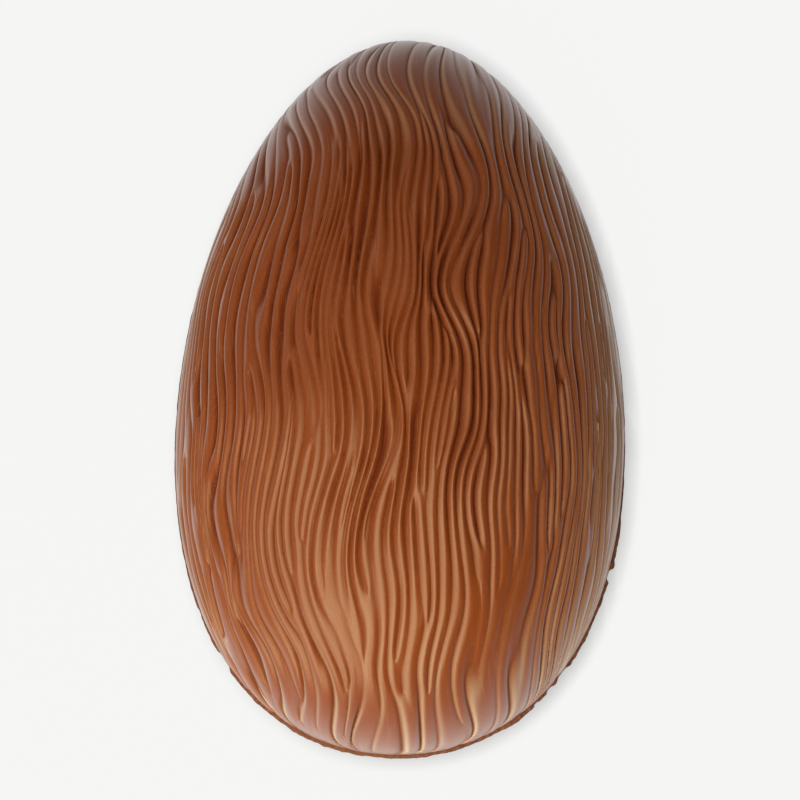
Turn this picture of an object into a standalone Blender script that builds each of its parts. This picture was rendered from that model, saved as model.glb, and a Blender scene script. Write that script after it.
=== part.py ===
"""Hollow half of a moulded chocolate egg with a ridged skin, lying on its cut rim.

The frame is in metres, +Z up. The rim rests on Z = 0 and the narrow end points along +Y.
"""
import math

import bmesh
import bpy
import numpy as np
from mathutils import Matrix

MM = 0.001

# The smooth egg that the ridges are cut into
HALF_LENGTH = 98.8 * MM
BODY_RADIUS = 61.1 * MM
TAPER = (-0.134, 0.053, -0.038)
WALL_THICKNESS = 5.0 * MM

# The ridges, which run from the broad end to the narrow end
RIDGE_COUNT = 48
RIDGE_STATIONS = (0.0, 0.28, 0.72)
RIDGE_DEPTHS = (1.0, 0.12, 0.12)
GROOVE_DEPTH = 0.7 * MM
RIM_FADE_HEIGHT = 5.0 * MM
ROW_COUNT = 22
SIDE_CROWDING = 1.1
FLOW_POWER = 0.5

# Each wave: sway, wavelength, where it starts along Y, lag per half width, where it is centred and its spread
RIDGE_WAVES = (
    (1.9 * MM, 60.0 * MM, 6.0 * MM, 0.9, -0.15, 0.70),
    (1.2 * MM, 56.0 * MM, -4.0 * MM, -0.6, 0.45, 0.35),
    (0.7 * MM, 34.0 * MM, 9.0 * MM, 1.6, 0.10, 0.60),
)

# The thin flat flash that the mould left around the rim
FLASH_THICKNESS = 0.8 * MM
FLASH_WIDTH = 1.0 * MM
FLASH_LEAST = 0.15 * MM
FLASH_LAP = 0.4 * MM
FLASH_POINTS = 200
FLASH_RIPPLES = ((0.22, 5, 0.4), (0.16, 11, 2.1), (0.14, 23, 4.4), (0.10, 37, 1.3))

# Broken places in the flash: direction and half width in degrees
FLASH_CHIPS = ((227.0, 5.0), (311.0, 6.0), (331.0, 2.5), (203.0, 4.0), (18.0, 3.0), (121.0, 4.0), (160.0, 3.0))

# The turned hollow inside the shell
HOLLOW_ROWS = 22
HOLLOW_STEPS = 40

MERGE_DISTANCE = 0.03 * MM
SLOPE_STEP = 1.0e-4
HALVINGS = 50
SHARP_ANGLE = math.radians(40.0)
CHOCOLATE_COLOUR = (0.105, 0.032, 0.010, 1.0)
CHOCOLATE_ROUGHNESS = 0.38


def radius_squared(station):
    """Squared radius of the smooth egg, from -1 at the broad end to +1 at the narrow end."""
    taper = 1.0 + station * (TAPER[0] + station * (TAPER[1] + station * TAPER[2]))
    return (BODY_RADIUS * taper) ** 2 * (1.0 - station ** 2)


def egg_radius(station):
    """Radius of the smooth egg at a station."""
    return np.sqrt(np.maximum(radius_squared(station), 0.0))


def widest_station():
    """Station where the egg is widest."""
    stations = np.linspace(-0.3, 0.1, 4001)
    return float(stations[np.argmax(radius_squared(stations))])


def rim_station(radius, end):
    """Station between the widest one and an end (-1 or +1) where the egg has the given radius."""
    inner = np.full_like(radius, widest_station())
    outer = np.full_like(radius, float(end))
    for _ in range(HALVINGS):
        middle = 0.5 * (inner + outer)
        wider = egg_radius(middle) > radius
        inner = np.where(wider, middle, inner)
        outer = np.where(wider, outer, middle)
    return outer


def ridge_columns():
    """Labels across the egg, -1 to +1, and groove depths of all columns, three to a ridge."""
    ridge = np.arange(RIDGE_COUNT)[:, None]
    steps = (ridge + np.array(RIDGE_STATIONS)[None, :]).ravel()
    steps = np.append(steps, float(RIDGE_COUNT))
    depths = np.append(np.tile(RIDGE_DEPTHS, RIDGE_COUNT), RIDGE_DEPTHS[0])
    side = 2.0 * steps / RIDGE_COUNT - 1.0
    labels = np.sin(SIDE_CROWDING * side) / math.sin(SIDE_CROWDING)
    return labels, GROOVE_DEPTH * depths


def ridge_sway(label, along):
    """Sideways sway of a ridge: sine waves along Y, each fading away from its own place across."""
    sway = np.zeros_like(along)
    for size, length, start, lag, centre, spread in RIDGE_WAVES:
        window = np.exp(-((label - centre) / spread) ** 2)
        sway += size * window * np.sin(2.0 * math.pi * (along - start) / length + lag * label)
    return sway


def skin_points():
    """Points of the ridged skin as (columns, rows, 3): half a body of revolution, grooved inwards."""
    labels, depths = ridge_columns()
    widest = egg_radius(np.array([widest_station()]))[0]
    rim_radius = widest * np.abs(labels) ** (1.0 / (1.0 - FLOW_POWER))
    broad = rim_station(rim_radius, -1)[:, None]
    narrow = rim_station(rim_radius, 1)[:, None]
    turn = np.linspace(-0.5 * math.pi, 0.5 * math.pi, ROW_COUNT + 1)[None, :]
    station = 0.5 * (broad + narrow) + 0.5 * (narrow - broad) * np.sin(turn)
    station[:, :1] = broad
    station[:, -1:] = narrow

    label = labels[:, None]
    radius = egg_radius(station)
    across = widest * label * (radius / widest) ** FLOW_POWER
    share = across / np.maximum(radius, MERGE_DISTANCE)
    calm = np.maximum(1.0 - share ** 2, 0.0) ** 2 * (radius / widest) ** 2
    across = across + ridge_sway(label, HALF_LENGTH * station) * calm
    height = np.sqrt(np.maximum(radius ** 2 - across ** 2, 0.0))
    height[:, 0] = 0.0
    height[:, -1] = 0.0

    slope = radius_squared(station + SLOPE_STEP) - radius_squared(station - SLOPE_STEP)
    slope = slope / (4.0 * SLOPE_STEP * HALF_LENGTH)
    normal = np.stack((across, -slope, height), axis=-1)
    normal /= np.maximum(np.linalg.norm(normal, axis=-1, keepdims=True), MERGE_DISTANCE)
    fade = np.clip(height / RIM_FADE_HEIGHT, 0.0, 1.0)
    cut = depths[:, None] * fade ** 2 * (3.0 - 2.0 * fade)
    smooth = np.stack((across, HALF_LENGTH * station, height), axis=-1)
    return smooth - cut[..., None] * normal


def ridged_half():
    """Closed half egg: a grid moved onto the ridged skin, with its rim filled flat."""
    points = skin_points()
    columns = points.shape[0] - 1
    grid = bmesh.new()
    bmesh.ops.create_grid(grid, x_segments=columns, y_segments=ROW_COUNT, size=1.0)
    for vertex in grid.verts:
        column = round(0.5 * (vertex.co.x + 1.0) * columns)
        row = round(0.5 * (vertex.co.y + 1.0) * ROW_COUNT)
        x, y, z = points[column, row]
        vertex.co = (x, y, z + FLASH_LAP)
    bmesh.ops.remove_doubles(grid, verts=grid.verts, dist=MERGE_DISTANCE)
    rim = [edge for edge in grid.edges if edge.is_boundary]
    bmesh.ops.contextual_create(grid, geom=rim)
    bmesh.ops.recalc_face_normals(grid, faces=grid.faces)
    mesh = bpy.data.meshes.new("half_egg_shell")
    grid.to_mesh(mesh)
    grid.free()
    return mesh


def flash_width(angle):
    """Width of the flash: a few ripples around the rim, thinned almost to nothing at the chips."""
    width = np.ones_like(angle)
    for size, waves, lead in FLASH_RIPPLES:
        width += size * np.sin(waves * angle + lead)
    for direction, half_width in FLASH_CHIPS:
        away = (np.degrees(angle) - direction + 180.0) % 360.0 - 180.0
        width *= 1.0 - np.exp(-(away / half_width) ** 4)
    return np.maximum(FLASH_WIDTH * width, FLASH_LEAST)


def flash_plate():
    """Flat plate under the rim: the egg's outline pushed outwards by the width of the flash."""
    angle = np.linspace(0.0, 2.0 * math.pi, FLASH_POINTS, endpoint=False)
    station = np.sin(angle)
    side = np.where(np.cos(angle) < 0.0, -1.0, 1.0)
    outline = np.stack((side * egg_radius(station), HALF_LENGTH * station), axis=-1)
    tangent = np.roll(outline, -1, axis=0) - np.roll(outline, 1, axis=0)
    outward = np.stack((tangent[:, 1], -tangent[:, 0]), axis=-1)
    outward /= np.linalg.norm(outward, axis=-1, keepdims=True)
    outline = outline + flash_width(angle)[:, None] * outward

    curve = bpy.data.curves.new("flash_outline", "CURVE")
    curve.dimensions = "2D"
    curve.fill_mode = "BOTH"
    curve.extrude = 0.5 * FLASH_THICKNESS
    spline = curve.splines.new("POLY")
    spline.points.add(FLASH_POINTS - 1)
    flat = np.zeros((FLASH_POINTS, 4))
    flat[:, :2] = outline
    flat[:, 3] = 1.0
    spline.points.foreach_set("co", flat.ravel())
    spline.use_cyclic_u = True
    return mesh_from_curve(curve, 0.5 * FLASH_THICKNESS)


def mesh_from_curve(curve, lift):
    """Closed mesh of a filled curve, moved up by the given height."""
    carrier = bpy.data.objects.new(curve.name, curve)
    bpy.context.scene.collection.objects.link(carrier)
    mesh = bpy.data.meshes.new_from_object(carrier)
    bpy.data.objects.remove(carrier)
    plate = bmesh.new()
    plate.from_mesh(mesh)
    bmesh.ops.remove_doubles(plate, verts=plate.verts, dist=MERGE_DISTANCE)
    bmesh.ops.translate(plate, verts=plate.verts, vec=(0.0, 0.0, lift))
    bmesh.ops.recalc_face_normals(plate, faces=plate.faces)
    plate.to_mesh(mesh)
    plate.free()
    return mesh


def hollow_profile():
    """Half outline of the hollow, from its top on the axis down its outer side to its foot."""
    turn = np.linspace(0.5 * math.pi, -0.5 * math.pi, HOLLOW_ROWS + 1)
    station = np.sin(turn)
    scale = 1.0 - WALL_THICKNESS / BODY_RADIUS
    radius = scale * egg_radius(station)
    radius[0] = 0.0
    radius[-1] = 0.0
    height = (HALF_LENGTH - WALL_THICKNESS) * station
    return [(float(r), 0.0, float(h)) for r, h in zip(radius, height)]


def hollow_cutter(collection):
    """Smooth inner egg, turned about its long axis and laid along Y."""
    profile = hollow_profile()
    mesh = bpy.data.meshes.new("hollow")
    mesh.from_pydata(profile, [(i, i + 1) for i in range(len(profile) - 1)], [])
    hollow = bpy.data.objects.new("hollow", mesh)
    collection.objects.link(hollow)
    turned = hollow.modifiers.new("turned", "SCREW")
    turned.axis = "Z"
    turned.steps = HOLLOW_STEPS
    turned.render_steps = HOLLOW_STEPS
    turned.use_merge_vertices = True
    turned.merge_threshold = MERGE_DISTANCE
    hollow.matrix_world = Matrix.Rotation(-0.5 * math.pi, 4, "X")
    return hollow


def as_cutter(obj):
    """Keep a Boolean's other body out of sight."""
    obj.hide_render = True
    obj.display_type = "WIRE"


def add_boolean(obj, other, operation):
    """Add one exact Boolean to the part."""
    modifier = obj.modifiers.new(other.name, "BOOLEAN")
    modifier.operation = operation
    modifier.solver = "EXACT"
    modifier.object = other


def chocolate():
    """Milk chocolate with a satin gloss."""
    material = bpy.data.materials.new("milk_chocolate")
    material.use_nodes = True
    shader = material.node_tree.nodes["Principled BSDF"]
    shader.inputs["Base Color"].default_value = CHOCOLATE_COLOUR
    shader.inputs["Roughness"].default_value = CHOCOLATE_ROUGHNESS
    shader.inputs["Metallic"].default_value = 0.0
    return material


def new_collection(name):
    """Collection linked into the scene."""
    collection = bpy.data.collections.new(name)
    bpy.context.scene.collection.children.link(collection)
    return collection


def clear_scene():
    """Remove every object the file starts with."""
    for obj in list(bpy.data.objects):
        bpy.data.objects.remove(obj, do_unlink=True)


def build():
    """Join the ridged half to its flash, then hollow it out from below."""
    clear_scene()
    parts = new_collection("chocolate_egg")
    cutters = new_collection("cutters")

    shell = bpy.data.objects.new("half_egg_shell", ridged_half())
    parts.objects.link(shell)
    shell.data.materials.append(chocolate())

    flash = bpy.data.objects.new("flash", flash_plate())
    cutters.objects.link(flash)
    as_cutter(flash)
    add_boolean(shell, flash, "UNION")

    hollow = hollow_cutter(cutters)
    as_cutter(hollow)
    add_boolean(shell, hollow, "DIFFERENCE")

    shell.data.shade_smooth()
    shell.data.set_sharp_from_angle(angle=SHARP_ANGLE)


build()
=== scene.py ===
"""Looks of a hollow moulded half of a chocolate egg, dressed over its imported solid."""
import math

import bmesh
import bpy
import numpy as np
from bpy.props import FloatProperty, FloatVectorProperty, IntProperty, PointerProperty
from bpy.types import Operator, Panel, PropertyGroup
from mathutils import Euler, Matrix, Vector


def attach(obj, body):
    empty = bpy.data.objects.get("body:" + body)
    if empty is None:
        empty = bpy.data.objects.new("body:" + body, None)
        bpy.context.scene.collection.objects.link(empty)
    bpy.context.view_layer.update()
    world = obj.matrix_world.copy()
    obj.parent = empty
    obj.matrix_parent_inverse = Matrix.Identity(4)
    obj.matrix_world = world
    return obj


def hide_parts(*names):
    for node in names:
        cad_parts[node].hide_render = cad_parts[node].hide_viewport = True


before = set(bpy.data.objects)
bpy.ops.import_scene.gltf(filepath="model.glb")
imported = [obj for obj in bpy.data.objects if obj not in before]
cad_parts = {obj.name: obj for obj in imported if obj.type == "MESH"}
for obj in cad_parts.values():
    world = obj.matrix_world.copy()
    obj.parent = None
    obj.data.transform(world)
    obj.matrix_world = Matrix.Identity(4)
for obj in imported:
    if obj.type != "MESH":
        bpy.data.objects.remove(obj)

bl_info = {
    "name": "Moulded chocolate egg",
    "version": (1, 0, 0),
    "blender": (4, 5, 0),
    "location": "3D View > Sidebar > Chocolate egg",
    "description": "Builds the ridged half shell, its flash and a plain studio",
    "category": "Object",
}

MM = 0.001
NODE = "half_egg_shell"
QUARTER_TURN = 0.5 * math.pi
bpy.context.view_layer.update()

# How the egg narrows from its broad end (-1) to its narrow end (+1)
TAPER = (-0.134, 0.053, -0.038)

# How quickly the surface's own columns run out at the rim, and how much closer they lie on the crown
COLUMN_SLIDE = 0.5
COLUMN_CROWDING = 0.5

# Currents that carry the ridges sideways, in mm: sway, wavelength, crest along Y, middle across X, spread
CURRENTS = (
    (3.0, 66.0, -7.0, -34.0, 24.0),
    (2.4, 53.0, -2.0, 19.0, 13.0),
    (1.2, 40.0, 26.0, 0.0, 8.0),
    (2.2, 78.0, 42.0, 42.0, 13.0),
)

# Single drifts of the ridges, in mm: sway, middle across X, middle along Y, spread across, spread along
DRIFTS = (
    (-9.0, 4.0, 100.0, 60.0, 20.0),
    (2.6, -9.0, 77.0, 13.0, 9.0),
    (2.0, 15.0, 66.0, 8.0, 13.0),
    (-1.4, -30.0, 55.0, 7.0, 8.0),
    (3.0, 31.0, 35.0, 9.0, 14.0),
    (2.4, 40.0, 14.0, 8.0, 19.0),
    (2.6, -11.0, -14.0, 7.0, 28.0),
    (1.4, -8.0, 0.0, 7.0, 18.0),
    (-3.0, -26.0, -6.0, 7.0, 19.0),
    (1.6, 1.0, 36.0, 8.0, 12.0),
    (-2.8, 6.0, -11.0, 7.0, 13.0),
    (-2.8, 24.0, -2.0, 8.0, 13.0),
    (-3.0, 20.0, -48.0, 12.0, 26.0),
    (-3.6, -3.0, -52.0, 9.0, 14.0),
    (-1.8, -15.0, -58.0, 8.0, 16.0),
    (-5.4, -38.0, -61.0, 9.0, 11.0),
    (3.0, -20.0, -88.0, 16.0, 12.0),
)

# Knots that neighbouring ridges are drawn into, in mm: pull, across X, along Y, spread across, spread along
KNOTS = (
    (2.2, 20.5, 8.0, 8.0, 10.0),
    (2.0, 7.0, 22.0, 6.0, 7.0),
    (2.0, 23.0, -12.0, 7.0, 8.0),
    (2.0, -6.0, 9.0, 6.0, 8.0),
    (1.5, 2.0, -10.0, 7.0, 12.0),
    (2.0, -9.0, -78.0, 8.0, 7.0),
    (1.6, -27.0, -58.0, 8.0, 9.0),
    (1.6, 8.5, 64.0, 7.0, 8.0),
)

# Patches where ridges lie closer or wider than usual: factor on the pitch, then as above
CLOSER = (
    (0.80, 4.0, -46.0, 14.0, 26.0),
    (0.85, 0.0, -24.0, 9.0, 26.0),
    (1.15, 24.0, 18.0, 16.0, 26.0),
    (1.10, -20.0, 16.0, 12.0, 20.0),
)

# Patches where the relief is bolder or flatter: amount added, then as above
BOLDER = (
    (0.32, 22.0, 15.0, 22.0, 45.0),
    (0.70, -32.0, 26.0, 22.0, 32.0),
    (-0.42, 10.0, -66.0, 36.0, 28.0),
)

# Where ridges begin to slide off the rim: end of the egg, station, length, slide at the left, gain at the right
SLIDES = (
    (-1.0, -0.10, 0.6, 0.10, 0.65),
    (-1.0, -0.55, 0.4, 0.45, 0.05),
    (-1.0, -0.82, 0.2, 0.20, -0.20),
    (1.0, 0.35, 0.5, 0.90, 0.0),
)

# Largest sway as a share of the egg's radius
SWAY_LIMIT = 0.24

# Share of the cut that is a narrow groove, while the rest rounds the ridges, and half width of a hair line
GROOVE_SHARE = 0.62
HAIR_WIDTH = 0.32 * MM

# Noise in the pitch, run and depth of the ridges: size, spread along and spread across in grid steps
UNEVEN_NOISE = ((0.3, 13.0, 22.0), (1.0, 10.0, 5.0))
WANDER_NOISE = ((0.6, 7.0, 7.0), (0.6, 9.0, 24.0), (1.3, 12.0, 26.0))
DEPTH_NOISE = ((0.38, 12.0, 4.0),)

# Slow waves in the skin: size in mm, length across and length along in metres, start as an angle
DENTS = (
    (0.08, 0.047, 0.121, 0.7),
    (0.08, 0.083, -0.064, 2.9),
    (0.04, 0.029, 0.053, 4.4),
)

# Width of the flash around the rim: direction in degrees from +X, share of the usual width
FLASH_PROFILE = (
    (0.0, 0.30),
    (40.0, 0.20),
    (90.0, 0.15),
    (140.0, 0.20),
    (180.0, 0.35),
    (210.0, 0.40),
    (223.0, 0.70),
    (243.0, 0.90),
    (253.0, 1.20),
    (262.0, 1.00),
    (280.0, 0.95),
    (293.0, 0.85),
    (298.0, 1.40),
    (303.0, 0.90),
    (317.0, 0.95),
    (323.0, 0.70),
    (328.0, 0.90),
    (334.0, 1.25),
    (342.0, 0.60),
    (350.0, 0.40),
)

# Broken places: direction and half width in degrees, share of the width that is left
FLASH_CHIPS = (
    (228.3, 2.0, 0.05),
    (218.0, 0.8, 0.50),
    (331.0, 1.1, 0.15),
    (310.5, 1.8, 0.25),
    (306.5, 1.0, 0.35),
    (302.5, 0.6, 0.55),
)

# Section of the flash from under the dome outwards and back: distance out as a share of the width and in mm,
# height as a share of the thickness and in mm, raggedness in mm, and how many steps that is shifted
FLASH_SECTION = (
    (0.00, -1.60, 0.00, 0.02, 0.00, 0),
    (0.50, 0.00, 0.00, 0.00, 0.00, 0),
    (0.92, 0.00, 0.05, 0.00, 0.00, 0),
    (1.00, 0.00, 0.30, 0.00, 0.03, 0),
    (0.97, 0.00, 0.65, 0.00, 0.00, 0),
    (0.86, 0.00, 0.92, 0.00, 0.00, 0),
    (0.55, 0.00, 1.00, 0.00, 0.02, 3),
    (0.30, 0.00, 1.02, 0.00, 0.02, 7),
    (0.05, 0.10, 1.05, 0.00, 0.00, 0),
    (0.00, 0.02, 1.25, 0.00, 0.00, 0),
    (0.00, -0.06, 1.90, 0.00, 0.00, 0),
    (0.00, -1.60, 1.50, 0.00, 0.00, 0),
)

# Ripples in the width of the flash: waves around the rim, size as a share of the width
FLASH_RIPPLES = ((9, 0.04), (17, 0.05), (31, 0.05), (57, 0.05), (103, 0.05))

# Distance across the grooves, in groove widths, from a groove's middle to the painted highlight on one side of
# it
GLINT_AWAY = 1.6

# Where both ends of the skin start to take a stronger painted highlight beside the grooves, and over what
# length, in metres from the middle
BROAD_GLINT = 0.055
NARROW_GLINT = 0.062
GLINT_FADE = 0.03

# The bright sheet under the egg, and how quickly the ground dims beyond it, in metres
SHEET_REACH = 0.117
SHEET_FADE = 0.05
GROUND_REACH = 4.0

# How the contact shadow leans away from the upright
SHADOW_LEAN = (-0.70, 0.20, -0.32)

# Lamps: place, width and height in metres, colour
KEY_LAMP = ((-0.27, -0.62, 0.78), (1.1, 2.1), (1.0, 0.93, 0.60))
FILL_LAMP = ((-0.45, 0.75, 0.85), (1.6, 1.2), (1.0, 0.95, 0.88))
LAMP_TARGET = (0.0, 0.0, 0.03)
SKY_COLOUR = (1.0, 0.80, 0.60)

# Point on the ground that the camera looks at, and the width of its film in mm
CAMERA_AIM = (-0.3 * MM, -1.1 * MM, 0.0)
FILM_WIDTH = 36.0


def smoothstep(value):
    """Rise from 0 to 1 with level ends."""
    share = np.clip(value, 0.0, 1.0)
    return share * share * (3.0 - 2.0 * share)


def bell(x, y, middle_x, middle_y, spread_x, spread_y):
    """Round bump of height 1: one over e to the squared distance from its middle, measured in spreads."""
    return np.exp(-((x - middle_x) / spread_x) ** 2 - ((y - middle_y) / spread_y) ** 2)


def radius_squared(station, body_radius):
    """Squared radius of the smooth egg: a circle's, narrowed by a cubic in the station."""
    taper = 1.0 + station * (TAPER[0] + station * (TAPER[1] + station * TAPER[2]))
    return (body_radius * taper) ** 2 * (1.0 - station ** 2)


def egg_radius(station, body_radius):
    """Radius of the smooth egg at a station from -1 to +1."""
    return np.sqrt(np.maximum(radius_squared(station, body_radius), 0.0))


def widest_point(body_radius):
    """Station and radius where the egg is widest."""
    stations = np.linspace(-0.3, 0.1, 4001)
    radii = egg_radius(stations, body_radius)
    return float(stations[np.argmax(radii)]), float(radii.max())


def rim_station(share, end, body_radius):
    """Station towards an end where the radius is the given share of the widest, found by halving."""
    widest_at, widest = widest_point(body_radius)
    inner = np.full_like(share, widest_at)
    outer = np.full_like(share, float(end))
    for _ in range(48):
        middle = 0.5 * (inner + outer)
        wider = egg_radius(middle, body_radius) > share * widest
        inner = np.where(wider, middle, inner)
        outer = np.where(wider, outer, middle)
    return np.where(share < 1.0, outer, widest_at)


def ridge_slide(station, label):
    """How fast ridges slide off the rim: 0 where they converge like meridians, 1 where they run straight.

    It is a sum of smooth steps along the egg. Each step's size goes from left (side 0) to right (side 1).
    """
    side = 0.5 + 0.5 * np.tanh(label / 0.25)
    slide = 0.0
    for end, start, length, left, gain in SLIDES:
        slide = slide + smoothstep(end * (station - start) / length) * (left + gain * side)
    return slide


def ridge_sway(across, along):
    """Sideways sway in metres: a sum of currents, drifts and knots, each fading like a bell.

    A current is a cosine along the egg. A knot pulls both sides towards its middle.
    """
    x, y = across / MM, along / MM
    sway = np.zeros(np.broadcast(x, y).shape)
    for size, length, crest, middle, spread in CURRENTS:
        sway += size * np.exp(-((x - middle) / spread) ** 2) * np.cos(2.0 * math.pi * (y - crest) / length)
    for size, *patch in DRIFTS:
        sway += size * bell(x, y, *patch)
    for pull, *patch in KNOTS:
        sway -= pull * ((x - patch[0]) / patch[2]) * bell(x, y, *patch)
    return sway * MM


def swayed(across, along, radius):
    """Distance across after the sway, held back so that no point crosses its neighbour or leaves the rim.

    The sway as a share of the radius bends towards its limit, and fades with the fourth power of the share
    across, so that it is nothing at the rim.
    """
    radius = np.maximum(radius, 0.001 * MM)
    share = np.clip(across / radius, -1.0, 1.0)
    sway = SWAY_LIMIT * np.tanh(ridge_sway(across, along) / (SWAY_LIMIT * radius))
    return across + radius * sway * (1.0 - share ** 4)


def ridge_pitch(turn, station, egg, ridges):
    """Distance between ridges on the surface: closest on the crown, wider at both ends and at the foot.

    It grows with a power of the station and with the square of the turn, and is multiplied by each patch.
    """
    ends = 1.0 + 1.3 * np.abs(station - 0.02) ** 3.6
    x = egg_radius(station, egg.body_radius) * np.sin(turn) / MM
    y = egg.half_length * station / MM
    patches = np.ones(np.broadcast(x, y).shape)
    for factor, *patch in CLOSER:
        patches *= factor ** bell(x, y, *patch)
    return ridges.pitch * ends * patches * (1.0 + 0.85 * (turn / QUARTER_TURN) ** 2)


def bells(values, spread):
    """Square matrix that averages a column of values with bell-shaped weights."""
    weights = np.exp(-0.5 * ((values[:, None] - values[None, :]) / spread) ** 2)
    return weights / weights.sum(axis=1, keepdims=True)


def shifted(field, steps):
    """Field moved sideways by whole columns, with nothing coming in at the edge."""
    moved = np.zeros_like(field)
    if steps > 0:
        moved[:, steps:] = field[:, :-steps]
    elif steps < 0:
        moved[:, :steps] = field[:, -steps:]
    else:
        moved[:] = field
    return moved


def soft_noise(rng, shape, layers):
    """Sum of layers of seeded noise on a grid, each blurred along both directions and brought to its size."""
    total = 0.0
    for size, spread_rows, spread_columns in layers:
        noise = rng.normal(size=shape)
        noise = bells(np.arange(shape[0], dtype=float), spread_rows) @ noise
        noise = noise @ bells(np.arange(shape[1], dtype=float), spread_columns).T
        total = total + size * (noise / noise.std())
    return total


class RidgeField:
    """Ridges grown on a grid of labels across and stations along.

    A complex wave starts as evenly pitched ridges plus noise. It is smoothed along the ridges and kept near
    the wanted pitch across them again and again, so that ridges fork and join where the pitch changes.
    Its angle is zero in the middle of a groove and half a turn on the crown of a ridge.
    """

    LABELS = 641
    STATIONS = 200
    REACH = 0.999

    def __init__(self, egg, ridges, finer, seed):
        """Count the ridges that fit between neighbouring labels, then grow the wave and draw its noise.

        Labels that the sway draws together share fewer ridges.
        """
        self.label = np.linspace(-1.0, 1.0, self.LABELS)[None, :]
        self.station = np.linspace(-self.REACH, self.REACH, self.STATIONS)[:, None]
        rng = np.random.default_rng(seed)
        _, widest = widest_point(egg.body_radius)
        radius = egg_radius(self.station, egg.body_radius)
        slide = ridge_slide(self.station, self.label)
        turn = np.clip(QUARTER_TURN * self.label * (radius / widest) ** -slide, -QUARTER_TURN, QUARTER_TURN)
        span = widest * QUARTER_TURN * (radius / widest) ** (1.0 - slide)
        across = radius * np.sin(turn)
        along = egg.half_length * self.station
        step = 0.2 * MM
        squeeze = swayed(across + step, along, radius) - swayed(across - step, along, radius)
        squeeze = np.clip(squeeze / (2.0 * step), 0.3, 2.5)
        uneven = ridges.unevenness * soft_noise(rng, span.shape, UNEVEN_NOISE)
        waves = span * squeeze ** 0.8 * np.exp(np.clip(uneven, -0.6, 0.6))
        waves = finer * waves / ridge_pitch(turn, self.station, egg, ridges)
        self.advance = 2.0 * math.pi * waves * (self.label[0, 1] - self.label[0, 0])
        self.wave = self.grow(waves, along.ravel(), rng, ridges)
        wander = ridges.wander * soft_noise(rng, span.shape, WANDER_NOISE)
        self.wave = self.wave * np.exp(1j * wander)
        self.depth = np.clip(1.0 + soft_noise(rng, span.shape, DEPTH_NOISE), 0.55, 1.8)

    def grow(self, waves, along, rng, ridges):
        """Smooth along, filter across, level the size, and repeat."""
        spacing = self.label[0, 1] - self.label[0, 0]
        count = np.cumsum(waves, axis=1) * spacing
        count = count - count[:, self.LABELS // 2][:, None]
        noise = rng.normal(size=waves.shape) + 1j * rng.normal(size=waves.shape)
        wave = np.exp(2j * math.pi * count) + ridges.disorder * noise
        smoothing = bells(along, ridges.smoothing)
        turn = np.exp(2j * math.pi * waves * spacing)
        spread = 0.6 / waves
        reach = int(1.3 / (waves.mean() * spacing)) + 1
        steps = range(-reach, reach + 1)
        weights = [np.exp(-0.5 * (step * spacing / spread) ** 2) * turn ** step for step in steps]
        for _ in range(ridges.rounds):
            wave = smoothing @ wave
            wave = sum(weight * shifted(wave, step) for step, weight in zip(steps, weights))
            size = np.abs(wave)
            wave = wave / (size + 0.15 * size.mean())
        return wave

    def sample(self, label, station):
        """Wave and depth between grid points, by straight lines both ways.

        Each neighbour's wave is first turned by the angle it would gain on the way across to the point.
        """
        column = np.clip(0.5 * (label + 1.0) * (self.LABELS - 1), 0.0, self.LABELS - 1.001)
        row = np.clip(0.5 * (station / self.REACH + 1.0) * (self.STATIONS - 1), 0.0, self.STATIONS - 1.001)
        i, j = column.astype(int), row.astype(int)
        right, up = column - i, row - j
        wave, depth = 0.0, 0.0
        for below, height in ((0, 1.0 - up), (1, up)):
            for left, share in ((0, 1.0 - right), (1, right)):
                gained = self.advance[j + below, i] * (right - left)
                wave = wave + height * share * self.wave[j + below, i + left] * np.exp(1j * gained)
                depth = depth + height * share * self.depth[j + below, i + left]
        return wave, depth


def ridge_label(turn, station, radius, widest):
    """Label of the ridge that passes through a point, solved by repeated substitution."""
    label = turn / QUARTER_TURN
    for _ in range(8):
        slide = ridge_slide(station, label)
        label = turn / QUARTER_TURN * (np.maximum(radius, 0.01 * MM) / widest) ** slide
    return label


def skin_grid(columns, rows, body_radius):
    """Stations and turns of a half egg's skin as (columns, rows).

    Each column starts at the rim on the broad side and ends at the rim on the narrow side. Its turn grows as
    the egg narrows, by a power of the radius, so that columns run out at the rim one by one. Rows crowd a
    little towards both ends.
    """
    place = np.linspace(-1.0, 1.0, columns)
    label = place * (1.0 + COLUMN_CROWDING * place ** 2) / (1.0 + COLUMN_CROWDING)
    share = np.abs(label) ** (1.0 / COLUMN_SLIDE)
    share[share < 0.0005] = 0.0
    broad = rim_station(share, -1, body_radius)[:, None]
    narrow = rim_station(share, 1, body_radius)[:, None]
    even = np.linspace(-1.0, 1.0, rows)[None, :]
    swing = 0.6 * even + 0.4 * np.sin(QUARTER_TURN * even)
    station = 0.5 * (broad + narrow) + 0.5 * (narrow - broad) * swing
    _, widest = widest_point(body_radius)
    radius = np.maximum(egg_radius(station, body_radius), 1.0e-9)
    turn = QUARTER_TURN * label[:, None] * (radius / widest) ** -COLUMN_SLIDE
    turn = np.clip(turn, -QUARTER_TURN, QUARTER_TURN)
    rim = np.sign(label) * QUARTER_TURN
    rim[columns // 2] = 0.0
    turn[:, 0] = rim
    turn[:, -1] = rim
    return station, turn


def skin_normal(station, turn, body_radius, half_length):
    """Outward direction of the smooth egg, from the slope of its squared radius."""
    step = 1.0e-4
    slope = radius_squared(station + step, body_radius) - radius_squared(station - step, body_radius)
    slope = slope / (4.0 * step * half_length)
    radius = np.maximum(egg_radius(station, body_radius), 1.0e-6)
    normal = np.stack((radius * np.sin(turn), -slope, radius * np.cos(turn)), axis=-1)
    return normal / np.linalg.norm(normal, axis=-1, keepdims=True)


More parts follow.
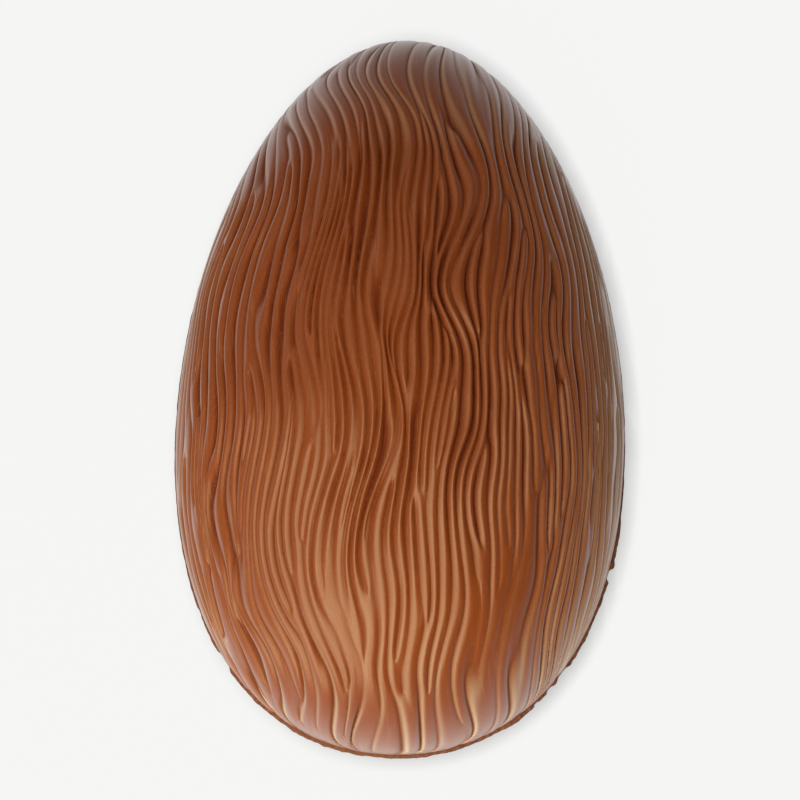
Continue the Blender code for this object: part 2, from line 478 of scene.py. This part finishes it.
def ridge_relief(egg, ridges, station, turn):
    """Depth cut below the smooth skin, and what the material reads to draw the grooves finely.

    The cut is a narrow bell around each groove's middle line, a low round crown between grooves, and shallow
    hair lines in patches. It ends at the foot and at both tips. The values are the wave with its pitch in
    groove widths, the strength of the groove, and the ridge's label with the station.
    """
    _, widest = widest_point(egg.body_radius)
    radius = egg_radius(station, egg.body_radius)
    label = ridge_label(turn, station, radius, widest)
    pitch = ridge_pitch(turn, station, egg, ridges)

    field = RidgeField(egg, ridges, 1.0, ridges.seed)
    wave, depth = field.sample(label, station)
    strength = np.clip(np.abs(wave) * 1.15, 0.0, 1.0)
    widths = pitch / ridges.groove_width
    away = np.abs(np.angle(wave)) / (2.0 * math.pi) * widths
    groove = np.exp(-away ** 1.2) * strength
    crown = 0.5 * (1.0 + np.cos(np.angle(wave))) * strength

    field = RidgeField(egg, ridges, ridges.hair_finer, ridges.seed + 1)
    hair_wave, patches = field.sample(label, station)
    patches = np.clip(patches - 0.6, 0.0, 1.0)
    away = np.abs(np.angle(hair_wave)) / (2.0 * math.pi) * pitch / ridges.hair_finer
    hair = np.exp(-(away / HAIR_WIDTH) ** 1.6) * np.clip(np.abs(hair_wave), 0.0, 1.0) * patches

    bold = bold_share(radius * np.sin(turn) / MM, egg.half_length * station / MM, turn)
    foot = smoothstep(radius * np.cos(turn) / (3.0 * MM))
    shape = GROOVE_SHARE * groove + (1.0 - GROOVE_SHARE) * crown
    cut = ridges.depth * depth * bold * shape + ridges.hair_depth * bold * hair
    cut = cut * (0.15 + 0.85 * foot) * smoothstep(radius / (2.0 * MM))
    values = {
        "wave": np.stack((wave.real, wave.imag, widths), axis=-1),
        "groove": strength * depth * bold * foot,
        "flow": np.stack((label, station, np.zeros_like(label)), axis=-1),
    }
    return cut, values


def bold_share(x, y, turn):
    """Boldness of the relief at a point in mm: a share and patches, less at the narrow end, more at the foot.

    The foot counts from a third of the way down the side, and fades towards both ends.
    """
    foot = smoothstep((np.abs(turn) / QUARTER_TURN - 0.35) / 0.5) * np.exp(-((y + 15.0) / 60.0) ** 4)
    bold = 0.90 + 0.6 * foot - 0.38 * smoothstep((y - 58.0) / 25.0)
    for amount, *patch in BOLDER:
        bold = bold + amount * bell(x, y, *patch)
    return bold


def gentle_dents(x, y):
    """Slow unevenness of the whole skin in metres: crossed sine waves, a fifth of a millimetre in all."""
    height = 0.0
    for size, across, along, start in DENTS:
        height = height + size * np.sin(2.0 * math.pi * (x / across + y / along) + start)
    return MM * height


def hollow_surface(egg, ridges):
    """Inside of the shell: a smaller smooth egg, raised a little, with dents half as high again."""
    station, turn = skin_grid(ridges.columns, ridges.inner_rows, egg.body_radius)
    radius = (1.0 - egg.wall / egg.body_radius) * egg_radius(station, egg.body_radius)
    along = (egg.half_length - egg.wall) * station
    inner = np.stack((radius * np.sin(turn), along, radius * np.cos(turn)), axis=-1)
    ripple = 1.5 * gentle_dents(1.3 * inner[..., 0] + 0.02, 1.2 * along)
    inner[..., 2] += ripple * smoothstep(inner[..., 2] / (8.0 * MM)) + 0.6 * MM
    return inner


def on_skin(values, around):
    """Values of the skin's points, with zeros for the other points of each loop."""
    whole = np.zeros((values.shape[0], around, *values.shape[2:]))
    whole[:, :values.shape[1]] = values
    return whole


def shell_loops(egg, ridges):
    """Closed loops around the shell, one to a column: over the ridged skin, across the rim, back inside.

    The skin is the smooth egg with its points swayed sideways, moved along its normal by dents and cuts.
    Returned with the loops are each point's cut and the values the material reads.
    """
    station, turn = skin_grid(ridges.columns, ridges.rows, egg.body_radius)
    radius = egg_radius(station, egg.body_radius)
    along = egg.half_length * station
    across = swayed(radius * np.sin(turn), along, radius)
    moved = np.arcsin(np.clip(across / np.maximum(radius, 1.0e-9), -1.0, 1.0))
    moved[:, 0] = turn[:, 0]
    moved[:, -1] = turn[:, -1]
    cut, values = ridge_relief(egg, ridges, station, turn)
    normal = skin_normal(station, moved, egg.body_radius, egg.half_length)
    values["slope"] = 1.0 - normal[..., 2]
    smooth = np.stack((radius * np.sin(moved), along, radius * np.cos(moved)), axis=-1)
    dents = gentle_dents(smooth[..., 0], along) * smoothstep(smooth[..., 2] / (12.0 * MM))
    skin = smooth + (dents - cut)[..., None] * normal
    skin[:, 0, 2] = 0.0
    skin[:, -1, 2] = 0.0
    skin[..., 2] += egg.lift

    inner = hollow_surface(egg, ridges)[:, ::-1]
    far_rim = (flattened(skin[:, -1:]), flattened(inner[:, :1]))
    near_rim = (flattened(inner[:, -1:]), flattened(skin[:, :1]))
    loops = np.concatenate((skin, *far_rim, inner, *near_rim), axis=1)

    around = loops.shape[1]
    values = {name: on_skin(value, around) for name, value in values.items()}
    values["wave"][:, ridges.rows:, 0] = -1.0
    return loops, on_skin(cut, around), values


def flattened(points):
    """Copy of points set down on the ground."""
    flat = points.copy()
    flat[..., 2] = 0.0
    return flat


def halved(quads, value):
    """Two triangles for each quad, cut along the diagonal whose ends are closest in value."""
    corner = value.reshape(-1)[quads]
    straight = np.abs(corner[:, 0] - corner[:, 2]) <= np.abs(corner[:, 1] - corner[:, 3])
    first = np.where(straight[:, None], quads[:, [0, 1, 2]], quads[:, [1, 2, 3]])
    second = np.where(straight[:, None], quads[:, [0, 2, 3]], quads[:, [1, 3, 0]])
    return np.concatenate((first, second))


def mesh_from_loops(name, loops, end_to_end, value=None):
    """Mesh between neighbouring closed loops; end_to_end also joins the last loop to the first.

    The faces are quads, or triangles whose edges follow a value's contours where one is given.
    """
    count, around = loops.shape[:2]
    index = np.arange(count * around).reshape(count, around)
    if end_to_end:
        here, there = index, np.roll(index, -1, axis=0)
    else:
        here, there = index[:-1], index[1:]
    quads = np.stack((here, there, np.roll(there, -1, axis=1), np.roll(here, -1, axis=1)), axis=-1)
    faces = quads.reshape(-1, 4)
    if value is not None:
        faces = halved(faces, value)
    mesh = bpy.data.meshes.new(name)
    mesh.vertices.add(count * around)
    mesh.vertices.foreach_set("co", loops.reshape(-1).astype(np.float32))
    mesh.loops.add(faces.size)
    mesh.loops.foreach_set("vertex_index", faces.reshape(-1).astype(np.int32))
    mesh.polygons.add(len(faces))
    mesh.polygons.foreach_set("loop_start", np.arange(0, faces.size, faces.shape[1], dtype=np.int32))
    mesh.update(calc_edges=True)
    return mesh


def add_point_values(mesh, name, values):
    """Store one number or one vector per vertex for the material to read."""
    kind, field = ("FLOAT_VECTOR", "vector") if values.ndim == 3 else ("FLOAT", "value")
    attribute = mesh.attributes.new(name, kind, "POINT")
    attribute.data.foreach_set(field, values.reshape(-1).astype(np.float32))


def close_mesh(mesh, distance):
    """Merge points that meet, fill the slits this leaves and turn every face outwards, or raise an error."""
    work = bmesh.new()
    work.from_mesh(mesh)
    bmesh.ops.remove_doubles(work, verts=work.verts, dist=distance)
    bmesh.ops.holes_fill(work, edges=[edge for edge in work.edges if edge.is_boundary], sides=4)
    bmesh.ops.recalc_face_normals(work, faces=work.faces)
    open_edges = sum(1 for edge in work.edges if not edge.is_manifold)
    work.to_mesh(mesh)
    work.free()
    if open_edges:
        raise RuntimeError(f"{mesh.name} has {open_edges} open edges")


def placed(name, data):
    """New object in the scene for a mesh, a lamp or a camera."""
    made = bpy.data.objects.new(name, data)
    bpy.context.scene.collection.objects.link(made)
    return made


def finish_piece(mesh, material, sharp_degrees):
    """Make a finished mesh an object, smooth but for its sharp edges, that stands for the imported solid."""
    mesh.materials.append(material)
    mesh.shade_smooth()
    mesh.set_sharp_from_angle(angle=math.radians(sharp_degrees))
    piece = placed(mesh.name, mesh)
    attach(piece, "root")
    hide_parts(NODE)


def flash_width(angle, flash):
    """Width around the rim: a smoothed profile times sine ripples and crumbs, cut back steeply where broken."""
    rng = np.random.default_rng(flash.seed)
    degrees = np.degrees(angle)
    direction, share = np.array(FLASH_PROFILE).T
    width = np.interp(degrees, direction, share, period=360.0)
    kernel = np.hanning(41)
    wrapped = np.concatenate((width[-20:], width, width[:20]))
    width = np.convolve(wrapped, kernel / kernel.sum(), mode="valid")
    ripple = np.ones_like(angle)
    for waves, size in FLASH_RIPPLES:
        ripple += size * np.sin(waves * angle + rng.uniform(0.0, 2.0 * math.pi))
    crumbs = rng.normal(size=angle.size)
    wrapped = np.concatenate((crumbs[-4:], crumbs, crumbs[:4]))
    crumbs = np.convolve(wrapped, np.hanning(9), mode="valid")
    width *= ripple + 0.07 * crumbs / crumbs.std()
    for middle, half_width, rest in FLASH_CHIPS:
        away = (degrees - middle + 180.0) % 360.0 - 180.0
        width *= 1.0 - (1.0 - rest) * np.exp(-(away / half_width) ** 6)
    return np.maximum(flash.width * width, 0.05 * MM)


def flash_loops(egg, flash):
    """Closed loops around the thin flash, each its ragged section: a flat plate with a fillet to the dome.

    The section is carried along the egg's outline and stretched by the width and the thickness there.
    """
    rng = np.random.default_rng(flash.seed + 1)
    angle = np.linspace(0.0, 2.0 * math.pi, flash.segments, endpoint=False)
    station = np.sin(angle)
    side = np.where(np.cos(angle) < 0.0, -1.0, 1.0)
    outline = np.stack((side * egg_radius(station, egg.body_radius), egg.half_length * station), axis=-1)
    tangent = np.roll(outline, -1, axis=0) - np.roll(outline, 1, axis=0)
    outward = np.stack((tangent[:, 1], -tangent[:, 0]), axis=-1)
    outward /= np.linalg.norm(outward, axis=-1, keepdims=True)
    width = flash_width(angle, flash)
    ragged = np.convolve(rng.normal(size=angle.size + 6), np.hanning(7), mode="valid")
    ragged = ragged / ragged.std()
    thick = flash.thickness * np.clip(1.0 + 0.10 * ragged, 0.6, 1.3)
    loops = []
    for width_share, out, thick_share, up, rough, shift in FLASH_SECTION:
        away = width_share * width + out * MM
        height = thick_share * thick + up * MM + rough * MM * np.roll(ragged, shift)
        flat = outline + away[:, None] * outward
        loops.append(np.concatenate((flat, height[:, None]), axis=1))
    return np.stack(loops, axis=1)


class Signal:
    """A socket wrapped so that sums, products and powers of sockets add Math nodes."""

    def __init__(self, nodes, socket):
        self.nodes = nodes
        self.socket = socket

    def _math(self, operation, *values):
        """Math node of an operation on signals or numbers."""
        return self.nodes.node("ShaderNodeMath", {"operation": operation}, dict(enumerate(values)))

    def __add__(self, other):
        return self._math("ADD", self, other)

    __radd__ = __add__

    def __sub__(self, other):
        return self._math("SUBTRACT", self, other)

    def __rsub__(self, other):
        return self._math("SUBTRACT", other, self)

    def __mul__(self, other):
        return self._math("MULTIPLY", self, other)

    __rmul__ = __mul__

    def __truediv__(self, other):
        return self._math("DIVIDE", self, other)

    def __pow__(self, other):
        return self._math("POWER", self, other)

    def beside(self, output):
        """Another output of the same node."""
        return Signal(self.nodes, self.socket.node.outputs[output])

    def clamped(self):
        """The signal held between 0 and 1."""
        return self.nodes.node("ShaderNodeClamp", {}, {"Value": self})

    def unsigned(self):
        """The signal without its sign."""
        return self._math("ABSOLUTE", self)

    def fading(self):
        """One over e to the power of the signal."""
        return self._math("EXPONENT", self * -1.0)


class Nodes:
    """Adds nodes to one material's tree."""

    def __init__(self, name):
        self.material = bpy.data.materials.new(name)
        self.material.use_nodes = True
        self.tree = self.material.node_tree

    def node(self, kind, settings, inputs, output=0):
        """Node of a type with its settings and the values or links of its sockets."""
        made = self.tree.nodes.new(kind)
        for name, value in settings.items():
            setattr(made, name, value)
        for key, value in inputs.items():
            self.feed(made.inputs[key], value)
        return Signal(self, made.outputs[output])

    def feed(self, socket, value):
        """Link a signal to a socket or set its value."""
        if isinstance(value, Signal):
            self.tree.links.new(value.socket, socket)
        else:
            socket.default_value = value

    def finished(self, name, inputs):
        """Material, once the values or links of the named node's sockets are set."""
        for key, value in inputs.items():
            self.feed(self.tree.nodes[name].inputs[key], value)
        return self.material

    def blend(self, factor, first, second):
        """Colour between two colours."""
        settings = {"data_type": "RGBA", "clamp_factor": True}
        return self.node("ShaderNodeMix", settings, {0: factor, 6: first, 7: second}, output=2)

    def noise(self, vector, scale, detail, roughness=0.5):
        """Noise that varies around a half, with a number of repeats to a metre or to a unit of the vector."""
        inputs = {"Vector": vector, "Scale": scale, "Detail": detail, "Roughness": roughness}
        return self.node("ShaderNodeTexNoise", {}, inputs)

    def place(self):
        """Object coordinates."""
        return self.node("ShaderNodeTexCoord", {}, {}, output=3)

    def split(self, vector):
        """A vector's part along X, with those along Y and Z beside it as outputs 1 and 2."""
        return self.node("ShaderNodeSeparateXYZ", {}, {"Vector": vector})

    def stored_vector(self, name):
        """Vector stored at the mesh's points."""
        return self.node("ShaderNodeAttribute", {"attribute_name": name}, {}, output=1)

    def stored_number(self, name):
        """Number stored at the mesh's points."""
        return self.node("ShaderNodeAttribute", {"attribute_name": name}, {}, output=2)


def opaque(colour):
    """Colour with full alpha."""
    return (*colour, 1.0)


def drawn_grooves(nodes):
    """Grooves and the painted highlight on one side of each, both between 0 and about their strength.

    The wave's angle, in turns, times its pitch in groove widths is the distance across from a groove's middle.
    A groove is one over e to a power of that distance, and the painted highlight is a bell around its own
    distance.
    """
    strength = nodes.stored_number("groove")
    wave = nodes.split(nodes.stored_vector("wave"))
    angle = nodes.node("ShaderNodeMath", {"operation": "ARCTAN2"}, {0: wave.beside(1), 1: wave})
    across = angle * wave.beside(2) / (2.0 * math.pi)
    groove = (across.unsigned() ** 1.3).fading() * strength
    beside = across - GLINT_AWAY
    edge = (beside * beside * 0.8).fading() * strength.clamped()
    return groove, edge


def glint_and_veil(nodes, place, look):
    """How strong the painted highlight beside the grooves is, and how much painted sheen and real gloss veil
    the foot of the dome.

    Both grow with a power of the slope, which is 1 less the upright part of the skin's direction. Both ends
    of the egg get a stronger painted highlight, and are veiled less.
    """
    slope = nodes.stored_number("slope")
    along = nodes.split(place).beside(1)
    broad = ((along * -1.0 - BROAD_GLINT) / GLINT_FADE).clamped()
    narrow = ((along - NARROW_GLINT) / GLINT_FADE).clamped()
    # Painted highlight beside the grooves: stronger where the skin is steep and at both ends
    painted_glint = (slope ** 3.0 * look.foot_glint + broad * 0.42 + narrow * 0.70 + 0.04).clamped()
    # Veil: real extra coat gloss at the steep foot, and also how strongly the painted sheen is blended in there
    veil = slope ** 3.5 * (1.0 - broad * 0.45 - narrow * 0.55)
    return painted_glint, veil


def chocolate_material(look):
    """Milk chocolate: two browns in slow clouds, painted shade in the grooves, a painted highlight beside them
    and painted sheen at the foot, with grain and strokes along ridges.

    The coat is the soft gloss of the ridges, and spares the grooves.
    """
    nodes = Nodes("milk_chocolate")
    place = nodes.place()
    groove, edge = drawn_grooves(nodes)
    painted_glint, veil = glint_and_veil(nodes, place, look)
    clouds = nodes.noise(place, 22.0, 3.0)
    grain = nodes.noise(place, 2600.0, 2.0, 0.6)
    stretched = {"Vector": nodes.stored_vector("flow"), "Scale": (150.0, 7.0, 1.0)}
    strokes = nodes.noise(nodes.node("ShaderNodeMapping", {"vector_type": "POINT"}, stretched), 1.0, 2.0, 0.6)

    body = nodes.blend((clouds * 1.6 - 0.3).clamped(), opaque(look.colour), opaque(look.pale_colour))
    # Painted sheen: the steep foot of the dome is blended pale, as the ground's reflection would make it
    body = nodes.blend((veil * look.rim_sheen).clamped(), body, opaque(look.streaks_and_sheen_colour))
    # Painted shade: the grooves darken towards a deep brown
    body = nodes.blend((groove ** 1.4 * look.groove_shade).clamped(), body, opaque(look.groove_shade_colour))
    body = nodes.blend(((strokes - 0.60) * 2.2).clamped(), body, opaque(look.streaks_and_sheen_colour))
    body = nodes.blend(((grain - 0.54) * 1.3).clamped(), body, opaque(look.streaks_and_sheen_colour))
    # Painted highlight: a pale line on one side of each groove
    body = nodes.blend((edge * painted_glint * (grain * 0.8 + 0.6)).clamped(), body, opaque(look.glint_colour))

    fine = grain * 0.35 + strokes * 0.6
    fine = nodes.node("ShaderNodeBump", {}, {"Strength": look.bump, "Distance": 0.12 * MM, "Height": fine})
    lines = {"Strength": 1.0, "Distance": look.line_depth, "Height": groove * -1.0, "Normal": fine}
    return nodes.finished("Principled BSDF", {
        "Base Color": body,
        "Roughness": look.roughness + strokes * 0.16 - 0.08 + groove.clamped() * 0.45,
        "Normal": nodes.node("ShaderNodeBump", {}, lines),
        "Coat Weight": (veil * look.rim_coat + look.coat) * (1.0 - (groove * 1.4).clamped()),
        "Coat Roughness": look.coat_roughness,
        "Specular IOR Level": look.gloss,
        "Specular Tint": opaque(look.gloss_tint),
        "IOR": 1.5,
        "Subsurface Weight": look.depth_glow,
        "Subsurface Radius": (1.0, 0.25, 0.08),
        "Subsurface Scale": 1.5 * MM,
    })


def flash_material(look):
    """Crumbly matt chocolate of the flash: noise mixes two browns and raises the crumbs."""
    nodes = Nodes("matt_chocolate")
    crumbs = nodes.noise(nodes.place(), 900.0, 4.0, 0.65)
    body = nodes.blend((crumbs * 1.8 - 0.4).clamped(), opaque(look.flash_dark), opaque(look.flash_colour))
    bump = nodes.node("ShaderNodeBump", {}, {"Strength": 0.6, "Distance": 0.25 * MM, "Height": crumbs})
    constants = {"Roughness": 0.6, "Specular IOR Level": 0.35}
    return nodes.finished("Principled BSDF", {"Base Color": body, "Normal": bump, **constants})


def floor_material(stage):
    """Plain pale ground: a sheet that glows evenly, darker close under the rim and dimmer beyond its edges.

    The contact shadow is the occlusion seen from a leaning upright, so that it falls to one side. The sheet's
    edge is found from the larger of the two distances from its middle.
    """
    nodes = Nodes("pale_ground")
    upright = nodes.node("ShaderNodeNewGeometry", {}, {}, output=1)
    leaning = nodes.node("ShaderNodeVectorMath", {"operation": "ADD"}, {0: upright, 1: SHADOW_LEAN})
    inputs = {"Distance": stage.shadow_reach, "Normal": leaning}
    contact = nodes.node("ShaderNodeAmbientOcclusion", {"samples": 16}, inputs, output=1)
    kept = 1.0 - (1.0 - contact) * stage.shadow_strength
    x = nodes.split(nodes.place())
    y = x.beside(1)
    reach = nodes.node("ShaderNodeMath", {"operation": "MAXIMUM"}, {0: x.unsigned(), 1: y.unsigned()})
    beyond = ((reach - SHEET_REACH) / SHEET_FADE).clamped()
    bright = kept * (1.0 - beyond * stage.sheet_contrast)
    colour = nodes.blend(bright, (0.0, 0.0, 0.0, 1.0), opaque(stage.floor_colour))
    glow = nodes.node("ShaderNodeEmission", {}, {"Color": colour, "Strength": stage.floor_glow})
    plain = nodes.node("ShaderNodeBsdfDiffuse", {}, {"Color": opaque(stage.floor_colour)})
    mixed = nodes.node("ShaderNodeMixShader", {}, {0: stage.floor_share, 1: glow, 2: plain})
    return nodes.finished("Material Output", {"Surface": mixed})


class EggSettings(PropertyGroup):
    """Sizes of the smooth egg."""

    half_length: FloatProperty(name="Half length", description="Half the egg's length without flash",
                               default=98.8 * MM, unit="LENGTH", precision=4)
    body_radius: FloatProperty(name="Body radius", description="Radius of the egg before it is tapered",
                               default=61.1 * MM, unit="LENGTH", precision=4)
    wall: FloatProperty(name="Wall", description="Thickness of the shell",
                        default=5.0 * MM, unit="LENGTH", precision=4)
    lift: FloatProperty(name="Lift", description="Height of the dome's foot inside the flash",
                        default=0.4 * MM, unit="LENGTH", precision=5)


class RidgeSettings(PropertyGroup):
    """The ridged skin."""

    pitch: FloatProperty(name="Pitch", description="Distance between ridges on the crown",
                         default=2.65 * MM, unit="LENGTH", precision=5)
    depth: FloatProperty(name="Depth", description="Depth of the grooves",
                         default=0.90 * MM, unit="LENGTH", precision=5)
    hair_finer: FloatProperty(name="Hair lines", description="Fine lines to each ridge", default=1.6)
    hair_depth: FloatProperty(name="Hair depth", description="Depth of the fine lines",
                              default=0.05 * MM, unit="LENGTH", precision=5)
    groove_width: FloatProperty(name="Groove width", description="Half width of a groove",
                                default=0.58 * MM, unit="LENGTH", precision=5)
    unevenness: FloatProperty(name="Unevenness", description="How much the pitch varies", default=0.30)
    wander: FloatProperty(name="Wander", description="How far grooves stray, as an angle", default=1.5)
    disorder: FloatProperty(name="Disorder", description="Noise that the ridges grow from", default=0.9)
    smoothing: FloatProperty(name="Smoothing", description="Length over which a ridge stays straight",
                             default=5.0 * MM, unit="LENGTH", precision=4)
    rounds: IntProperty(name="Rounds", description="How long the ridges grow", default=16, min=1)
    seed: IntProperty(name="Seed", description="Another seed gives other forks", default=11)
    columns: IntProperty(name="Columns", description="Columns of the skin, an odd number", default=561)
    rows: IntProperty(name="Rows", description="Rows of the skin", default=158)
    inner_rows: IntProperty(name="Inner rows", description="Rows of the hollow", default=14)


class FlashSettings(PropertyGroup):
    """The thin ragged edge around the rim."""

    width: FloatProperty(name="Width", description="Usual width of the flash",
                         default=0.9 * MM, unit="LENGTH", precision=5)
    thickness: FloatProperty(name="Thickness", description="Thickness of the flash",
                             default=0.7 * MM, unit="LENGTH", precision=5)
    segments: IntProperty(name="Segments", description="Steps around the rim", default=1800)
    seed: IntProperty(name="Seed", description="Another seed gives another edge", default=3)


class LookSettings(PropertyGroup):
    """Colours and finish of the chocolate."""

    colour: FloatVectorProperty(name="Chocolate", description="Main brown", subtype="COLOR",
                                default=(0.185, 0.0375, 0.0070), min=0.0, max=1.0)
    pale_colour: FloatVectorProperty(name="Pale chocolate", description="Paler clouds", subtype="COLOR",
                                     default=(0.205, 0.0450, 0.0095), min=0.0, max=1.0)
    # Colour of the painted shade deep in a groove
    groove_shade_colour: FloatVectorProperty(name="Grooves", description="Brown deep in a groove", subtype="COLOR",
                                       default=(0.112, 0.014, 0.002), min=0.0, max=1.0)
    # Pale colour of the real streaks and grain, and also of the painted sheen at the foot
    streaks_and_sheen_colour: FloatVectorProperty(name="Bloom", description="Faint pale streaks", subtype="COLOR",
                                      default=(0.340, 0.160, 0.074), min=0.0, max=1.0)
    flash_colour: FloatVectorProperty(name="Flash", description="Matt edge", subtype="COLOR",
                                      default=(0.190, 0.062, 0.034), min=0.0, max=1.0)
    flash_dark: FloatVectorProperty(name="Flash shade", description="Dark crumbs of it", subtype="COLOR",
                                    default=(0.070, 0.015, 0.008), min=0.0, max=1.0)
    # Colour of the painted highlight beside each groove
    glint_colour: FloatVectorProperty(name="Edge", description="Pale edge beside each groove", subtype="COLOR",
                                     default=(0.470, 0.350, 0.275), min=0.0, max=1.0)
    # Strength of the painted shade in the grooves
    groove_shade: FloatProperty(name="Groove shade", description="How much grooves darken", default=0.80)
    # How much the painted highlight grows at the steep foot
    foot_glint: FloatProperty(name="Edge bloom", description="How pale edges turn at the foot", default=1.2)
    # Strength of the painted sheen at the foot of the dome
    rim_sheen: FloatProperty(name="Rim bloom", description="How pale the foot of the dome turns", default=0.72)
    gloss: FloatProperty(name="Gloss", description="Strength of the gloss left in the grooves", default=0.20)
    gloss_tint: FloatVectorProperty(name="Gloss tint", description="Colour of that gloss", subtype="COLOR",
                                    default=(1.0, 0.88, 0.73), min=0.0, max=1.0)
    roughness: FloatProperty(name="Roughness", description="Dullness of that gloss", default=0.33)
    coat: FloatProperty(name="Coat", description="Share of the glossy skin on the ridges", default=0.72)
    rim_coat: FloatProperty(name="Rim coat", description="Share of glossy skin added at the foot", default=0.38)
    coat_roughness: FloatProperty(name="Coat roughness", description="Dullness of that skin", default=0.34)
    line_depth: FloatProperty(name="Line depth", description="Extra depth of the finely drawn grooves",
                              default=0.04 * MM, unit="LENGTH", precision=5)
    bump: FloatProperty(name="Bump", description="Strength of the fine grain", default=0.25)
    depth_glow: FloatProperty(name="Depth glow", description="Share of light that sinks in", default=0.12)


class StageSettings(PropertyGroup):
    """Camera, lights and ground."""

    elevation: FloatProperty(name="Elevation", description="Height of the camera above the horizon",
                             default=math.radians(85.0), subtype="ANGLE")
    roll: FloatProperty(name="Roll", description="Turn of the camera about its own axis",
                        default=math.radians(1.35), subtype="ANGLE")
    distance: FloatProperty(name="Distance", description="Camera to the middle of the egg",
                            default=1.1, unit="LENGTH")
    width: FloatProperty(name="View width", description="Width of the view at the rim",
                         default=0.2207, unit="LENGTH", precision=4)
    floor_colour: FloatVectorProperty(name="Ground", description="Colour of the ground", subtype="COLOR",
                                      default=(0.91, 0.91, 0.91), min=0.0, max=1.0)
    floor_glow: FloatProperty(name="Glow", description="Brightness of the ground", default=1.0)
    floor_share: FloatProperty(name="Lit share", description="Share of the ground lit by lamps", default=0.02)
    sheet_contrast: FloatProperty(name="Sheet contrast", description="Dimming of the ground beyond the sheet",
                                  default=0.50)
    shadow_reach: FloatProperty(name="Shadow reach", description="How far the contact shadow reaches",
                                default=5.0 * MM, unit="LENGTH", precision=4)
    shadow_strength: FloatProperty(name="Shadow", description="Strength of the contact shadow", default=0.6)
    sky: FloatProperty(name="Sky", description="Brightness all round", default=0.02)
    key: FloatProperty(name="Key", description="Power of the large lamp at the broad end",
                       default=31.5, subtype="POWER")
    fill: FloatProperty(name="Fill", description="Power of the lamp beyond the narrow end",
                        default=2.4, subtype="POWER")


class EGG_OT_shell(Operator):
    """Build the ridged half shell"""

    bl_idname = "egg.shell"
    bl_label = "Ridged shell"

    def execute(self, context):
        scene = context.scene
        loops, depth, values = shell_loops(scene.egg_sizes, scene.egg_ridges)
        mesh = mesh_from_loops("ridged_shell", loops, end_to_end=False, value=depth)
        for name, value in values.items():
            add_point_values(mesh, name, value)
        close_mesh(mesh, 0.0003 * MM)
        finish_piece(mesh, chocolate_material(scene.egg_look), 75.0)
        return {"FINISHED"}


class EGG_OT_flash(Operator):
    """Build the ragged flash around the rim"""

    bl_idname = "egg.flash"
    bl_label = "Flash"

    def execute(self, context):
        scene = context.scene
        mesh = mesh_from_loops("mould_flash", flash_loops(scene.egg_sizes, scene.egg_flash), end_to_end=True)
        close_mesh(mesh, 0.001 * MM)
        finish_piece(mesh, flash_material(scene.egg_look), 60.0)
        return {"FINISHED"}


def add_floor(stage):
    """Flat square of ground far wider than the view."""
    mesh = bpy.data.meshes.new("ground")
    far = GROUND_REACH
    corners = [(-far, -far, 0.0), (far, -far, 0.0), (far, far, 0.0), (-far, far, 0.0)]
    mesh.from_pydata(corners, [], [(0, 1, 2, 3)])
    mesh.materials.append(floor_material(stage))
    floor = placed("ground", mesh)


def add_lamp(name, place, size, colour, power):
    """Rectangular soft lamp at a place, facing the egg."""
    lamp = bpy.data.lights.new(name, "AREA")
    lamp.shape = "RECTANGLE"
    lamp.size, lamp.size_y = size
    lamp.energy = power
    lamp.color = colour
    holder = placed(name, lamp)
    holder.location = place
    holder.rotation_euler = (Vector(LAMP_TARGET) - Vector(place)).to_track_quat("-Z", "Y").to_euler()


def add_camera(stage):
    """Camera that looks down on the egg from the broad end's side, with a lens that fits the view's width."""
    camera = bpy.data.cameras.new("camera")
    camera.sensor_width = FILM_WIDTH
    camera.lens = FILM_WIDTH * stage.distance / stage.width
    camera.clip_end = 20.0
    holder = placed("camera", camera)
    back = Vector((0.0, -math.cos(stage.elevation), math.sin(stage.elevation)))
    holder.location = Vector(CAMERA_AIM) + stage.distance * back
    turned = Euler((QUARTER_TURN - stage.elevation, 0.0, 0.0)).to_quaternion()
    rolled = Euler((0.0, 0.0, stage.roll)).to_quaternion()
    holder.rotation_euler = (turned @ rolled).to_euler()
    bpy.context.scene.camera = holder


class EGG_OT_stage(Operator):
    """Set up the ground, the lamps and the camera"""

    bl_idname = "egg.stage"
    bl_label = "Studio"

    def execute(self, context):
        scene = context.scene
        stage = scene.egg_stage
        add_camera(stage)
        add_floor(stage)
        add_lamp("key", *KEY_LAMP, stage.key)
        add_lamp("fill", *FILL_LAMP, stage.fill)
        world = bpy.data.worlds.new("studio")
        world.use_nodes = True
        sky = world.node_tree.nodes["Background"].inputs
        sky["Color"].default_value = opaque(SKY_COLOUR)
        sky["Strength"].default_value = stage.sky
        scene.world = world
        scene.view_settings.view_transform = "Standard"
        return {"FINISHED"}


class EGG_PT_panel(Panel):
    """Sizes, colours and pieces of the egg"""

    bl_idname = "EGG_PT_panel"
    bl_label = "Chocolate egg"
    bl_space_type = "VIEW_3D"
    bl_region_type = "UI"
    bl_category = "Chocolate egg"

    def draw(self, context):
        scene = context.scene
        for settings, group in SETTINGS.items():
            box = self.layout.box()
            for name in group.__annotations__:
                box.prop(getattr(scene, settings), name)
        for operator in (EGG_OT_stage, EGG_OT_shell, EGG_OT_flash):
            self.layout.operator(operator.bl_idname)


SETTINGS = {
    "egg_sizes": EggSettings,
    "egg_ridges": RidgeSettings,
    "egg_flash": FlashSettings,
    "egg_look": LookSettings,
    "egg_stage": StageSettings,
}
CLASSES = (*SETTINGS.values(), EGG_OT_stage, EGG_OT_shell, EGG_OT_flash, EGG_PT_panel)


def register():
    """Register the classes and hang the settings on the scene."""
    for cls in CLASSES:
        bpy.utils.register_class(cls)
    for name, group in SETTINGS.items():
        setattr(bpy.types.Scene, name, PointerProperty(type=group))


def unregister():
    """Take the settings and the classes away again."""
    for name in SETTINGS:
        delattr(bpy.types.Scene, name)
    for cls in reversed(CLASSES):
        bpy.utils.unregister_class(cls)


def main():
    """Build everything in order."""
    register()
    bpy.ops.egg.stage()
    bpy.ops.egg.shell()
    bpy.ops.egg.flash()


if __name__ == "__main__":
    main()
